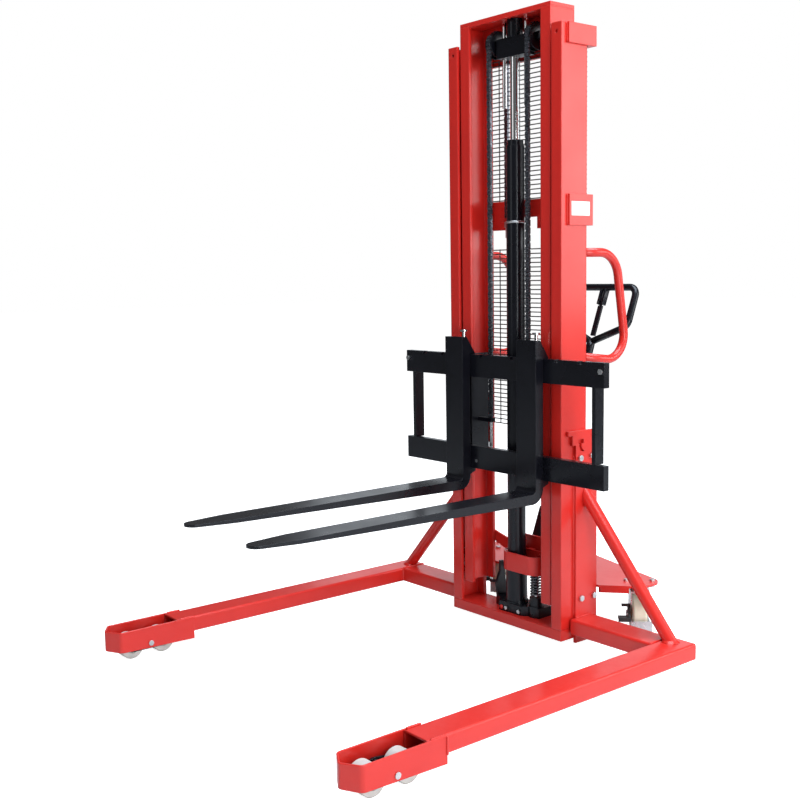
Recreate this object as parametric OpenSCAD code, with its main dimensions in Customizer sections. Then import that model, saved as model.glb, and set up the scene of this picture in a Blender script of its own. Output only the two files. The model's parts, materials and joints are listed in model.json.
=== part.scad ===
// Hand pallet stacker: straddle legs, two-stage mast, fork carriage, hydraulic lift and tiller.
// Lengths are millimetres. X runs across, -Y is the fork side, +Y the operator's side, Z is up.
// Inside the modules Y counts from the mast's front face; place() moves all of it at the end.

/* [Straddle legs] */
// Clear width between the two legs
straddle_w = 1228; // [1160:2:1260]
// Width of a leg tube
leg_w = 97; // [80:1:104]
// Height of a leg tube
leg_h = 54; // [48:1:60]
// Underside of a leg tube above the floor
leg_z = 50; // [48:1:56]
// Wall of the leg and beam tubes
tube_wall = 5; // [3:0.5:7]
// Reach of a leg tube ahead of the mast's front face
leg_front = 970; // [900:1:980]
// Rear end of the legs behind the mast's front face
leg_back = 143; // [143:1:160]
// Front face of the rear beams behind the mast's front face
beam_front = 36; // [30:1:44]
// Plate of the folded leg noses
nose_t = 6; // [4:0.5:8]
// Reach of the noses ahead of the mast's front face
nose_front = 1215; // [1210:1:1260]
// Length of the pointed end of a nose
nose_wedge = 34; // [20:1:40]

/* [Load wheels] */
// Diameter of a load wheel
load_wheel_d = 80; // [74:1:84]
// Width of a load wheel
load_wheel_w = 62; // [50:1:64]
// Place of the bogie pivots ahead of the mast's front face
bogie_y = 1073; // [1070:1:1078]
// Height of the bogie pivots
bogie_z = 48; // [46:0.5:52]
// Distance between the two wheels of a bogie
bogie_wheelbase = 114; // [110:1:118]
// Diameter of the bogie pivots and load wheel axles
load_pin_d = 16; // [14:1:22]

/* [Outer mast] */
// Width over the outer mast
mast_w = 540; // [536:1:560]
// Depth of the outer mast channels
mast_d = 122; // [120:1:124]
// Width of an outer channel's flange
flange_w = 45; // [40:1:46]
// Thickness of the mast channels' webs and flanges
channel_t = 12; // [9:0.5:12]
// Length of the mast channels
mast_l = 2000; // [1960:5:2060]
// Underside of the mast base above the floor
base_z = 31; // [28:1:36]
// Height of the mast base
base_h = 37; // [34:1:39]
// Thickness of the crossmember caps and side plates
side_t = 10; // [8:0.5:12]

/* [Crossmembers and guards] */
// Height of the top crossmember
top_cross_h = 64; // [50:1:80]
// Underside of the mid crossmember above the floor
mid_cross_z = 1426; // [1420:1:1440]
// Height of the mid crossmember
mid_cross_h = 101; // [90:1:110]
// Rise of the mid crossmember's underside at its middle
mid_cross_rise = 41; // [20:1:50]
// Diameter of the guard wires
wire_d = 4; // [2:0.5:4]
// Distance from one guard wire to the next
wire_pitch = 15.7; // [12:0.1:20]
// Top of the side plates above the floor
side_top = 745; // [740:1:760]
// Bottom of the side plates above the floor
side_bottom = 15; // [12:1:25]
// Diameter of the brace tubes
brace_d = 42; // [34:1:48]
// Height of the brace's upper end
brace_top = 521; // [480:1:560]

/* [Inner mast] */
// Clearance between an outer and an inner channel's flange
mast_gap = 10; // [8:1:12]
// Depth of the inner mast channels
inner_d = 114; // [112:1:116]
// Width of an inner channel's flange
inner_flange_w = 44; // [40:1:46]
// Raise of the inner mast above its closed place
inner_raise = 73; // [60:1:90]
// Thickness of the inner mast's top plate
top_plate_t = 12; // [8:1:12]

/* [Lift] */
// Diameter of the piston rod
rod_d = 35; // [30:1:40]
// Diameter of the cylinder barrel
barrel_d = 64; // [58:1:68]
// Wall of the cylinder barrel
barrel_wall = 6; // [4:0.5:8]
// Top of the cylinder barrel above the floor
barrel_top = 1708; // [1690:1:1715]
// Underside of the crosshead above the floor
cross_z = 2004; // [1998:1:2010]
// Height of the crosshead
cross_h = 65; // [60:1:70]
// Half width of the crosshead between the pulleys
cross_half = 68; // [64:1:72]
// Diameter of the guide rods
guide_d = 16; // [12:1:18]
// Distance of a guide rod from the middle
guide_x = 52; // [46:1:54]
// Length of the guide rods
guide_l = 291; // [280:1:300]

/* [Chains] */
// Distance of a chain from the middle
chain_x = 92; // [90:1:94]
// Width of a chain
chain_w = 20; // [16:1:20]
// Thickness of a chain
chain_t = 14; // [10:1:14]
// Radius of the pulleys under the chain
drum_r = 35; // [33:0.5:36]
// Radius of the pulley flanges
pulley_flange_r = 46; // [42:0.5:46]

/* [Carriage] */
// Width of the carriage bars
bar_w = 968; // [940:2:1000]
// Height of a carriage bar
bar_h = 80; // [76:1:84]
// Thickness of a carriage bar
bar_t = 24; // [20:1:26]
// Underside of the lower bar above the floor
lower_bar_z = 583; // [580:1:590]
// Height over both bars
carriage_h = 407; // [400:1:415]
// Gap between the bars and the mast's front face
bar_gap = 12; // [10:1:14]
// Clearance between a carriage side plate and an inner channel's flange
cheek_gap = 6; // [5:0.5:8]
// Thickness of a carriage side plate
cheek_t = 15; // [10:1:15]
// Distance of a strut's inner face from the middle
strut_x = 434; // [425:1:440]

/* [Forks] */
// Distance of a fork from the middle
fork_x = 178; // [174:1:182]
// Width of a fork
fork_w = 90; // [80:1:100]
// Thickness of a fork
fork_t = 35; // [30:1:38]
// Reach of the fork tips ahead of the mast's front face
fork_front = 1157; // [1100:1:1200]
// Depth of the fork heel below the lower bar
fork_drop = 76; // [70:1:80]
// Top of the fork shank above the upper bar
fork_rise = 62; // [55:1:70]
// Diameter of the fork lock pins
lock_d = 12; // [8:1:14]

/* [Deck and casters] */
// Top of the deck plate above the floor
deck_top = 200; // [198:1:206]
// Thickness of the deck plate
deck_t = 8; // [5:0.5:8]
// Rear edge of the deck at its middle
deck_back = 475; // [460:1:490]
// Depth of the deck's folded edge
deck_edge = 26; // [20:1:30]
// Distance of a caster from the middle
caster_x = 350; // [340:1:352]
// Distance of the casters behind the mast's front face
caster_y = 312; // [306:1:316]
// Diameter of a caster wheel
caster_d = 150; // [144:1:152]
// Width of a caster wheel
caster_w = 50; // [40:1:52]
// Trail of the casters
caster_trail = 35; // [30:1:38]
// Swivel of the casters at rest
caster_turn = 135; // [0:1:360]

/* [Handles and pump] */
// Diameter of the grab handle tube
grab_d = 30; // [25:1:32]
// Height of the tiller's pivot
tiller_z = 280; // [276:1:284]
// Distance of the tiller's pivot behind the mast's front face
tiller_y = 165; // [163:1:167]
// Lean of the tiller
tiller_lean = 21.7; // [18:0.1:26]
// Length of the tiller from its pivot to its top bar
tiller_l = 1006; // [950:1:1050]
// Width of the tiller loop between bar centres
loop_w = 300; // [260:1:320]
// Height of the tiller loop
loop_h = 216; // [190:1:240]
// Diameter of the tiller's bars
tiller_d = 26; // [20:1:28]
// Rise of the loop's lower bars from the middle to the sides
loop_rise = 66; // [40:1:80]
// Cut of the loop's upper corners
loop_cut = 24; // [15:1:30]
// Distance of the pump plunger from the middle
plunger_x = 98; // [96:1:102]
// Outside diameter of the return spring
spring_d = 45; // [40:1:45]
// Wire of the return spring
spring_wire = 5.7; // [4:0.1:6]
// Turns of the return spring
spring_turns = 9.5; // [8:0.5:10]

/* [Hidden] */

$fn = 48;
gap = 0.3;          // between pieces of different bodies that lie side by side
fit = 0.05;         // radial clearance of a running fit
mid_y = mast_d / 2; // middle of the mast's depth

// Colours as the photograph shows them
red = [0.78, 0.11, 0.09];
black = [0.07, 0.07, 0.08];
zinc = [0.72, 0.72, 0.7];
cream = [0.87, 0.83, 0.7];
chrome = [0.85, 0.86, 0.88];

// Legs
leg_in = straddle_w / 2;
leg_out = leg_in + leg_w;
leg_mid = leg_in + leg_w / 2;
leg_top = leg_z + leg_h;
nose_half = leg_w / 2 + nose_t;
nose_back = leg_front - 61;
nose_top = leg_top + 0.5;
nose_bottom = 27.5;
nose_kink = bogie_y + 6;
nose_lift = 9;

// Outer mast
mast_out = mast_w / 2;
base_top = base_z + base_h;
mast_top = base_top + mast_l;
rear_bar_t = 26.5;
rear_bar_y = mast_d + 2 * wire_d + 0.5;
top_cross_z = mast_top - top_cross_h;

// Inner mast
inner_w = mast_w - 2 * (flange_w + mast_gap);
inner_out = inner_w / 2;
cheek_x = inner_out - inner_flange_w - cheek_gap - cheek_t;
inner_y = mid_y + 3 - inner_d / 2;
inner_back = inner_y + inner_d;
inner_z = base_top + 2 + inner_raise;
inner_top = mast_top + inner_raise;
top_plate_z = inner_top - top_plate_t;
guide_y = inner_y + inner_d / 2;

// Lift
lift_y = mid_y + 1;
rod_bottom = 380;
piston_l = 40;
barrel_bottom = base_top + 34;
gland_h = 18;
pulley_y = lift_y + 8;
pulley_z = cross_z + cross_h - 12;
pulley_axle_d = 20;
pulley_flange_t = 3;
wrap_r = drum_r + chain_t;
rear_anchor_z = mid_cross_z + mid_cross_rise - 1;
front_anchor_z = 760;

// Carriage and forks
bar_back = -bar_gap;
bar_front = -bar_gap - bar_t;
bar_top = lower_bar_z + carriage_h;
upper_bar_z = bar_top - bar_h;
lower_bar_top = lower_bar_z + bar_h;
shank_back = bar_front - gap;
shank_front = shank_back - fork_t;
fork_top = bar_top + fork_rise;
blade_z = lower_bar_z - fork_drop;
blade_top = blade_z + fork_t;
lock_y = bar_front + 14;
lock_pitch = 102;

// Pump
spring_bottom = 138;
pump_top = 108;
pump_back = 105;
pump_front = 20;
sleeve_d = 76;
plug_x = -36;
plug_z = base_top + 12;
pump_screws = [-10, 52];
cap_z = 240;
cap_h = 6;
plunger_y = lift_y - 2;
strap_z = 223;
strap_h = 66;
strap_r = 46;
strap_t = 5;
strap_end_x = plunger_x - 4;
rocker_y = 100;
rocker_z = 270;
rocker_pin_d = 10;
rocker_w = 16;

// Deck and casters
deck_z = deck_top - deck_t;
caster_plate_t = 6;
caster_head_z = deck_z - caster_plate_t - gap;
caster_axle_d = 12;
caster_leg_t = 5;
caster_leg_x = caster_w / 2 + 3;
side_back = 168;

// The whole part is moved so that its box is centred on the origin
rear_reach = tiller_y + tiller_l * sin(tiller_lean) + tiller_d / 2;
mast_y = (nose_front - rear_reach) / 2;

module place() translate([0, mast_y, 0]) children();
module left() mirror([1, 0, 0]) children();
module both() {
    children();
    mirror([1, 0, 0]) children();
}
module box(a, b) translate(a) cube(b - a);
module bar_x(x0, x1, y, z, d) translate([x0, y, z]) rotate([0, 90, 0]) cylinder(d = d, h = x1 - x0);
module bar_y(y0, y1, x, z, d) translate([x, y0, z]) rotate([-90, 0, 0]) cylinder(d = d, h = y1 - y0);
module bar_z(z0, z1, x, y, d) translate([x, y, z0]) cylinder(d = d, h = z1 - z0);

// Round bar from point p to point q
module rod(p, q, d) {
    v = q - p;
    l = norm(v);
    translate(p) rotate([0, acos(v.z / l), atan2(v.y, v.x)]) cylinder(d = d, h = l);
}
// Outline drawn in Y and Z, made x1 - x0 thick along X
module across(x0, x1) translate([x0, 0, 0]) rotate([90, 0, 90]) linear_extrude(x1 - x0) children();

module round_rect(w, h, r) {
    square([w, h - 2 * r], center = true);
    square([w - 2 * r, h], center = true);
    for (i = [-1, 1], j = [-1, 1])
        translate([i * (w / 2 - r), j * (h / 2 - r)]) circle(r);
}
module tube_section(w, h, wall) {
    difference() {
        round_rect(w, h, 1.6 * wall);
        round_rect(w - 2 * wall, h - 2 * wall, 0.6 * wall);
    }
}
// Tube whose centre line joins the 2D points p, with a ball at each corner
elbow = 1.06;
module bent_tube(p, d) {
    for (i = [0:len(p) - 2]) rod([p[i].x, p[i].y, 0], [p[i + 1].x, p[i + 1].y, 0], d);
    for (i = [1:len(p) - 2]) translate([p[i].x, p[i].y, 0]) sphere(d = d * elbow);
}
// Points of an arc round c from angle a0 to a1
function arc(c, r, a0, a1, n = 8) = [for (i = [0:n]) let (a = a0 + (a1 - a0) * i / n) c + r * [cos(a), sin(a)]];
// Flat link with round ends in the Y and Z plane
module link(p, q, d) {
    v = q - p;
    translate(p) circle(d = d);
    translate(q) circle(d = d);
    translate(p) rotate(atan2(v.y, v.x)) translate([0, -d / 2]) square([norm(v), d]);
}
module hex_head(across_flats, h) cylinder(d = across_flats / cos(30), h = h, $fn = 6);

module leg() color(red) {
    translate([leg_mid, leg_back - tube_wall, leg_z + leg_h / 2])
        rotate([90, 0, 0]) linear_extrude(leg_front + leg_back - tube_wall)
            tube_section(leg_w, leg_h, tube_wall);
    translate([leg_mid, leg_back, leg_z + leg_h / 2])
        rotate([90, 0, 0]) linear_extrude(tube_wall) round_rect(leg_w, leg_h, 1.6 * tube_wall);
}

module rear_beams() color(red) both()
    translate([mast_out + side_t, (beam_front + leg_back) / 2, leg_z + leg_h / 2])
        rotate([90, 0, 90]) linear_extrude(leg_in - mast_out - side_t)
            tube_section(leg_back - beam_front, leg_h, tube_wall);

// Plan of a nose, shrunk by the inset t on every wall
module nose_plan(t) {
    half = nose_half - t;
    slope = nose_wedge / nose_half;
    tip = nose_front - t * sqrt(1 + slope * slope);
    polygon([[leg_mid - half, -nose_back + t], [leg_mid + half, -nose_back + t],
        [leg_mid + half, -(tip - slope * half)], [leg_mid, -tip],
        [leg_mid - half, -(tip - slope * half)]]);
}
module leg_nose() color(red) difference() {
    translate([0, 0, nose_bottom]) linear_extrude(nose_top - nose_bottom) nose_plan(0);
    translate([0, 0, nose_bottom - 1]) linear_extrude(nose_top - nose_bottom + 2) nose_plan(nose_t);
    box([leg_in, -nose_back - nose_t - 1, nose_bottom - 1], [leg_out, -nose_back + 1, nose_top + 1]);
    across(leg_in - nose_t - 1, leg_out + nose_t + 1)
        polygon([[-nose_kink, nose_bottom - 1], [-nose_kink, nose_bottom],
            [-nose_front, nose_bottom + nose_lift], [-nose_front - 1, nose_bottom - 1]]);
    bar_x(leg_in - nose_t - 1, leg_out + nose_t + 1, -bogie_y, bogie_z, load_pin_d);
}

// Pivot pin with a low head outside each nose wall
module bogie_pivots() color(zinc) both() {
    bar_x(leg_mid - nose_half, leg_mid + nose_half, -bogie_y, bogie_z, load_pin_d);
    for (x = [leg_mid - nose_half - 3, leg_mid + nose_half])
        bar_x(x, x + 3, -bogie_y, bogie_z, load_pin_d + 2);
}

bogie_plate_t = 5;
bogie_plate_x = load_wheel_w / 2 + 1;
module bogie_plate() polygon(concat(
    arc([-bogie_y - bogie_wheelbase / 2, load_wheel_d / 2], 17, 250, 100),
    [[-bogie_y, bogie_z + 18]],
    arc([-bogie_y + bogie_wheelbase / 2, load_wheel_d / 2], 17, 80, -70)));
module bogie() {
    color(black) difference() {
        union() {
            for (x = [-bogie_plate_x - bogie_plate_t, bogie_plate_x])
                across(leg_mid + x, leg_mid + x + bogie_plate_t) bogie_plate();
            bar_x(leg_in + gap, leg_out - gap, -bogie_y, bogie_z, load_pin_d + 8);
        }
        bar_x(leg_in, leg_out, -bogie_y, bogie_z, load_pin_d + 2 * fit);
    }
    color(zinc) for (s = [-1, 1])
        bar_x(leg_mid - bogie_plate_x - bogie_plate_t - 2, leg_mid + bogie_plate_x + bogie_plate_t + 2,
            -bogie_y + s * bogie_wheelbase / 2, load_wheel_d / 2, load_pin_d);
}

// Nylon load wheel with bearing recesses at both ends; s is -1 in front and 1 behind
module load_wheel(s) color(cream)
    translate([leg_mid, -bogie_y + s * bogie_wheelbase / 2, load_wheel_d / 2]) rotate([0, 90, 0])
        rotate_extrude() {
            r0 = load_pin_d / 2 + fit;
            r1 = load_wheel_d / 2;
            w = load_wheel_w / 2;
            polygon([[r0, -w + 1], [r0 + 8, -w + 1], [r0 + 8, -w + 3], [r0 + 14, -w + 3], [r0 + 14, -w],
                [r1 - 3, -w], [r1, -w + 3], [r1, w - 3], [r1 - 3, w], [r0 + 14, w], [r0 + 14, w - 3],
                [r0 + 8, w - 3], [r0 + 8, w - 1], [r0, w - 1]]);
        }

// Rolled channel that opens towards the middle, seen from above
module channel_section(out, flange, y0, depth) difference() {
    translate([out - flange, y0]) square([flange, depth]);
    translate([out - flange - 1, y0 + channel_t]) square([flange - channel_t + 1, depth - 2 * channel_t]);
}
module outer_channel() color(red) difference() {
    translate([0, 0, base_top]) linear_extrude(mast_l) channel_section(mast_out, flange_w, 0, mast_d);
    bar_y(-1, channel_t + 1, mast_out - flange_w / 2, mast_top - 28, 12);
}
module mast_base() color(red) difference() {
    box([-mast_out, 0, base_z], [mast_out, mast_d, base_top]);
    box([-mast_out + channel_t, channel_t, base_z - 1],
        [mast_out - channel_t, mast_d - channel_t, base_top - channel_t]);
}
module top_crossmember() color(red) {
    difference() {
        box([-mast_out, rear_bar_y, top_cross_z], [mast_out, rear_bar_y + rear_bar_t, mast_top]);
        box([-mast_out - 1, rear_bar_y + tube_wall, top_cross_z + tube_wall],
            [mast_out + 1, rear_bar_y + rear_bar_t - tube_wall, mast_top - tube_wall]);
    }
    both() box([mast_out, 25, top_cross_z], [mast_out + side_t, rear_bar_y + rear_bar_t, mast_top]);
}
mid_bar_t = 20;
anchor_bracket_t = 12;
module mid_crossmember() color(red) difference() {
    union() {
        box([-mast_out, mast_d, mid_cross_z], [mast_out, mast_d + mid_bar_t, mid_cross_z + mid_cross_h]);
        both() {
            box([mast_out, 29, mid_cross_z], [mast_out + side_t, mast_d + mid_bar_t, mid_cross_z + mid_cross_h]);
            box([chain_x - 18, pulley_y + drum_r - 10, rear_anchor_z - anchor_bracket_t],
                [chain_x + 18, mast_d, rear_anchor_z]);
        }
    }
    box([-45, mast_d - 1, mid_cross_z - 1], [45, mast_d + mid_bar_t + 1, mid_cross_z + mid_cross_rise]);
    for (s = [-1, 1])
        bar_z(rear_anchor_z - anchor_bracket_t - 1, rear_anchor_z + 1,
            s * chain_x, pulley_y + drum_r + chain_t / 2, 12);
}

// Bolt places on the side plates, as Y and Z
side_bolts = [[82, 652], [138, 656], [88, 168], [152, 167]];
hook_y = 112;
hook_r = 22;
module side_plates() color(red) both() difference() {
    across(mast_out, mast_out + side_t) difference() {
        polygon([[62, side_bottom], [side_back, side_bottom], [side_back, side_top - 22],
            [side_back - 22, side_top], [25, side_top], [25, side_top - 15], [45, side_top - 15],
            [45, side_top - 48], [62, side_top - 48]]);
        intersection() {
            difference() {
                translate([hook_y, side_top - 49]) circle(hook_r + 11);
                translate([hook_y, side_top - 49]) circle(hook_r);
            }
            translate([hook_y - 40, side_top - 71]) square([36, 42]);
        }
        translate([hook_y - 40, side_top - 44]) square([28, 14]);
    }
    for (p = side_bolts) bar_x(mast_out - 1, mast_out + side_t + 1, p[0], p[1], 12);
}

// Round tube cut flat on the side plate and on the beam
module braces() color(red) both() {
    top = [mast_out + side_t, 115, brace_top];
    foot = [leg_mid - 17, 100, leg_top];
    reach = (foot - top) * 0.12;
    intersection() {
        difference() {
            rod(top - reach, foot + reach, brace_d);
            rod(top - reach * 1.1, foot + reach * 1.1, brace_d - 8);
        }
        box([mast_out + side_t, 0, leg_top], [leg_out, 200, brace_top + 200]);
    }
    translate([leg_mid - 17, 100, leg_top]) difference() {
        intersection() {
            translate([0, 0, -2]) cylinder(d1 = brace_d + 20, d2 = brace_d, h = 10);
            translate([-50, -50, 0]) cube([100, 100, 8]);
        }
        translate([0, 0, -3]) cylinder(d = brace_d - 2, h = 20);
    }
}

// Welded wire guards behind the mast: level wires in front, upright wires behind them
wire_over = 2.7;
upper_guard_z = mid_cross_z + mid_cross_h + 3;
upper_guard_n = floor((mast_top - 38 - upper_guard_z) / wire_pitch);
lower_guard_z = 728;
lower_guard_n = floor((mid_cross_z - 55 - lower_guard_z) / wire_pitch);
module wire_guard(z0, n, half, upright_x) {
    for (i = [0:n]) bar_x(-half, half, mast_d + wire_d / 2 + 0.1, z0 + i * wire_pitch, wire_d, $fn = 16);
    for (x = upright_x)
        bar_z(z0 - wire_over, z0 + n * wire_pitch + wire_over, x, mast_d + wire_d * 1.5 + 0.1, wire_d, $fn = 16);
}
module mesh_guards() color(black) {
    wire_guard(upper_guard_z, upper_guard_n, mast_out - 2, [-mast_out + 12, -145, 145, mast_out - 12]);
    wire_guard(lower_guard_z, lower_guard_n, grab_x - grab_d / 2 - 5, [-228, -145, 145, 228]);
}

// Grab handles: points of the tube's centre line as Y and Z
grab_x = mast_out - grab_d / 2;
grab_path = [[mast_d - 8, 1338], [200, 1338], [300, 1275], [335, 1069], [235, 976], [mast_d - 8, 990]];
module grab_handles() color(red) both() intersection() {
    for (i = [0:len(grab_path) - 2]) hull() for (p = [grab_path[i], grab_path[i + 1]])
        translate([grab_x, p[0], p[1]]) sphere(d = grab_d, $fn = 16);
    box([0, mast_d, 0], [mast_out, mast_d + 400, mast_top]);
}

// Fasteners of the frame: side plate bolts, pump screws and the rear chain anchor rods
module frame_bolts() color(zinc) {
    both() {
        for (p = side_bolts) {
            bar_x(mast_out, mast_out + side_t, p[0], p[1], 12 - 2 * fit);
            translate([mast_out + side_t, p[0], p[1]]) rotate([0, 90, 0]) hex_head(19, 8);
        }
        bar_z(rear_anchor_z - 68, rear_anchor_z, chain_x, pulley_y + drum_r + chain_t / 2, 12 - 2 * fit);
        translate([chain_x, pulley_y + drum_r + chain_t / 2, rear_anchor_z - anchor_bracket_t - 20])
            hex_head(19, 20);
    }
    for (x = pump_screws) translate([x, pump_front, base_top + 14]) rotate([90, 0, 0]) hex_head(13, 6);
}

// Deck outline, drawn with its sides and rear drawn in by t
deck_corner = 52;
module deck_outline(t) {
    side = 406 - t;
    half = concat([[290, side_back]], arc([side - deck_corner, 290], deck_corner, -58, 0),
        arc([side - deck_corner, 326], deck_corner, 0, 78), [[13, deck_back - t]]);
    polygon(concat(half, [for (i = [len(half) - 1:-1:0]) [-half[i][0], half[i][1]]]));
}
module deck_plate() color(red) {
    box([-mast_out, mast_d + 14, deck_z], [mast_out, side_back + 1, deck_top]);
    difference() {
        translate([0, 0, deck_top - deck_edge]) linear_extrude(deck_edge) deck_outline(0);
        translate([0, 0, deck_z - 40]) linear_extrude(40) deck_outline(deck_t);
        for (s = [-1, 1]) translate([s * 400, 310, deck_z - 20]) cube([220, 150, 40], center = true);
        box([-285, 100, deck_z - 40], [285, side_back + 20, deck_z]);
    }
}
caster_bolt_dx = 31;
caster_bolt_dy = 32;
caster_head_d = 2 * (norm([caster_bolt_dx, caster_bolt_dy]) - 17 / 2 / cos(30) - 1.5);
module caster_plates() color(zinc) both() translate([caster_x, caster_y, 0]) {
    difference() {
        box([-42, -45, deck_z - caster_plate_t], [42, 45, deck_z]);
        bar_z(deck_z - 20, deck_z + 1, 0, 0, 20 + 2 * fit);
    }
    for (i = [-1, 1], j = [-1, 1]) {
        translate([i * caster_bolt_dx, j * caster_bolt_dy, deck_top]) hex_head(17, 7);
        translate([i * caster_bolt_dx, j * caster_bolt_dy, deck_z - caster_plate_t - 7]) hex_head(17, 7);
    }
}

module caster_place(s) translate([s * caster_x, caster_y, 0]) rotate(caster_turn) children();
toe_x = caster_trail - caster_d / 2 - 8;
// Local frame of a caster: x along the trail, y along the wheel's axle
module caster_fork() color(zinc) {
    bar_z(deck_z - caster_plate_t - gap, deck_z - 0.5, 0, 0, 20);
    bar_z(caster_head_z - 14, caster_head_z, 0, 0, caster_head_d);
    box([-38, -caster_leg_x - caster_leg_t, caster_head_z - 20],
        [46, caster_leg_x + caster_leg_t, caster_head_z - 14]);
    for (s = [0, 1]) mirror([0, s, 0]) {
        translate([0, caster_leg_x + caster_leg_t, 0]) rotate([90, 0, 0]) linear_extrude(caster_leg_t) {
            polygon([[-38, caster_head_z - 14], [46, caster_head_z - 14], [46, caster_head_z - 60],
                [caster_trail + 18, caster_d / 2], [caster_trail - 18, caster_d / 2],
                [-38, caster_head_z - 60]]);
            translate([caster_trail, caster_d / 2]) circle(18);
        }
        bar_y(caster_leg_x + caster_leg_t, caster_leg_x + caster_leg_t + 8, caster_trail, caster_d / 2, 22);
    }
    bar_y(-caster_leg_x - 1, caster_leg_x + 1, caster_trail, caster_d / 2, caster_axle_d);
    // toe guard ahead of the wheel
    for (s = [0, 1]) mirror([0, s, 0])
        box([toe_x, caster_leg_x, 46], [caster_trail - 10, caster_leg_x + caster_leg_t, 70]);
    box([toe_x - 4, -caster_leg_x - caster_leg_t - 8, 24], [toe_x, caster_leg_x + caster_leg_t, 70]);
}
module caster_wheel() color(cream) translate([caster_trail, 0, caster_d / 2]) rotate([90, 0, 0])
    rotate_extrude() {
        r0 = caster_axle_d / 2 + fit;
        r1 = caster_d / 2;
        w = caster_w / 2;
        polygon([[r0, -w - 2], [r0 + 12, -w - 2], [r0 + 12, -w + 8], [r1 - 22, -w + 8], [r1 - 18, -w],
            [r1 - 6, -w], [r1, -w + 6], [r1, w - 6], [r1 - 6, w], [r1 - 18, w], [r1 - 22, w - 8],
            [r0 + 12, w - 8], [r0 + 12, w + 2], [r0, w + 2]]);
    }
// Brake pedal: a lever beside the caster's leg with a tread that stands out sideways
brake_x = 4;
brake_z = 98;
brake_y = caster_leg_x + caster_leg_t + gap;
module brake_pedal() color(black) {
    translate([0, brake_y + 6, 0]) rotate([90, 0, 0]) linear_extrude(6)
        link([brake_x, brake_z], [brake_x - 38, 80], 22);
    box([brake_x - 62, brake_y, 76], [brake_x - 30, brake_y + 42, 84]);
    box([brake_x - 62, brake_y, 70], [brake_x - 56, brake_y + 42, 84]);
    box([brake_x - 14, brake_y, 98], [brake_x - 4, brake_y + 6, 118]);
    box([brake_x - 20, brake_y, 112], [brake_x, brake_y + 28, 118]);
}

module cylinder_barrel() color(black) difference() {
    union() {
        bar_z(barrel_bottom, barrel_top, 0, lift_y, barrel_d);
        bar_z(barrel_bottom, strap_z - 1, 0, lift_y, sleeve_d);
    }
    bar_z(barrel_bottom + 20, barrel_top + 1, 0, lift_y, barrel_d - 2 * barrel_wall);
}
// Screwed head that closes the barrel round the rod
module cylinder_gland() color(zinc) difference() {
    union() {
        bar_z(barrel_top, barrel_top + gland_h, 0, lift_y, barrel_d - 8);
        bar_z(barrel_top - 40, barrel_top, 0, lift_y, barrel_d - 2 * barrel_wall);
    }
    bar_z(barrel_top - 41, barrel_top + gland_h + 1, 0, lift_y, rod_d + 2 * fit);
}

// Long round loop that holds the barrel and passes round the plunger
module strap_outline(r) {
    translate([0, lift_y]) circle(r);
    translate([strap_end_x, lift_y]) circle(r);
    translate([0, lift_y - r]) square([strap_end_x, 2 * r]);
}
ear_x = rocker_w / 2 + gap;
ear_t = 5;
module cylinder_strap() color(red) difference() {
    union() {
        translate([0, 0, strap_z]) linear_extrude(strap_h) difference() {
            strap_outline(strap_r);
            strap_outline(strap_r - strap_t);
        }
        // two blocks that hold the barrel inside the loop
        for (a = [135, 225]) translate([0, lift_y, strap_z]) rotate(a)
            box([barrel_d / 2 - 2, -8, 0], [strap_r - strap_t + 1, 8, strap_h]);
        box([-60, mast_d, 235], [170, mast_d + 8, 335]);
        box([160, mast_d, 245], [mast_out - flange_w / 2, mast_d + 8, 300]);
        translate([0, mast_d + 8, 0]) rotate([90, 0, 0]) linear_extrude(8)
            polygon([[-59, 240], [-59, 290], [-mast_out + flange_w / 2, 340], [-mast_out + flange_w / 2, 310]]);
        for (x = [-40, 10]) box([x, lift_y + strap_r - 2, strap_z + 10], [x + 30, mast_d + 1, strap_z + strap_h]);
        // ears of the rocker's pin
        for (x = [plunger_x - ear_x - ear_t, plunger_x + ear_x])
            box([x, rocker_y - 13, rocker_z - 13], [x + ear_t, mast_d + 1, rocker_z + 13]);
        // ears of the tiller's pivot
        for (x = [-38, 30]) across(x, x + 8) {
            translate([mast_d + 7, tiller_z - 20]) square([tiller_y - mast_d - 7, 40]);
            translate([tiller_y, tiller_z]) circle(20);
        }
    }
    bar_z(strap_z - 1, strap_z + strap_h + 1, 0, lift_y, barrel_d);
    box([plunger_x - ear_x, rocker_y - 14, rocker_z - 13],
        [plunger_x + ear_x, mast_d + 9, strap_z + strap_h + 60]);
    bar_x(plunger_x - 40, plunger_x + 40, rocker_y, rocker_z, rocker_pin_d + 2 * fit);
    bar_x(-60, 60, tiller_y, tiller_z, 20 + 2 * fit);
}

module pump_block() color(black) difference() {
    union() {
        translate([0, 0, base_top]) linear_extrude(pump_top - 6 - base_top)
            polygon([[-106, pump_back], [-106, 62], [-72, 50], [-48, pump_front], [plunger_x - 36, pump_front],
                [plunger_x - 14, 40], [plunger_x + 30, 40], [plunger_x + 30, pump_back]]);
        bar_z(base_top, pump_top, 0, lift_y, sleeve_d + 6);
        bar_z(base_top, pump_top, plunger_x, plunger_y, 56);
        bar_z(base_top, spring_bottom, plunger_x, plunger_y, spring_d + 3);
        // bracket of the lowering valve with its stub
        across(-106, -96) polygon([[62, pump_top - 8], [pump_back, pump_top - 8], [pump_back, 128], [96, 190],
            [90, 228], [76, 228], [74, 190], [56, 150]]);
        rod([-100, 72, 150], [-143, 68, 146], 12);
        bar_x(-112, -96, 84, 146, 20);
    }
    bar_z(base_top + 6, spring_bottom + 1, plunger_x, plunger_y, 20 + 2 * fit);
    bar_z(barrel_bottom, pump_top + 1, 0, lift_y, sleeve_d);
    bar_y(pump_front - 1, pump_front + 4, plug_x, plug_z, 16);
}

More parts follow.
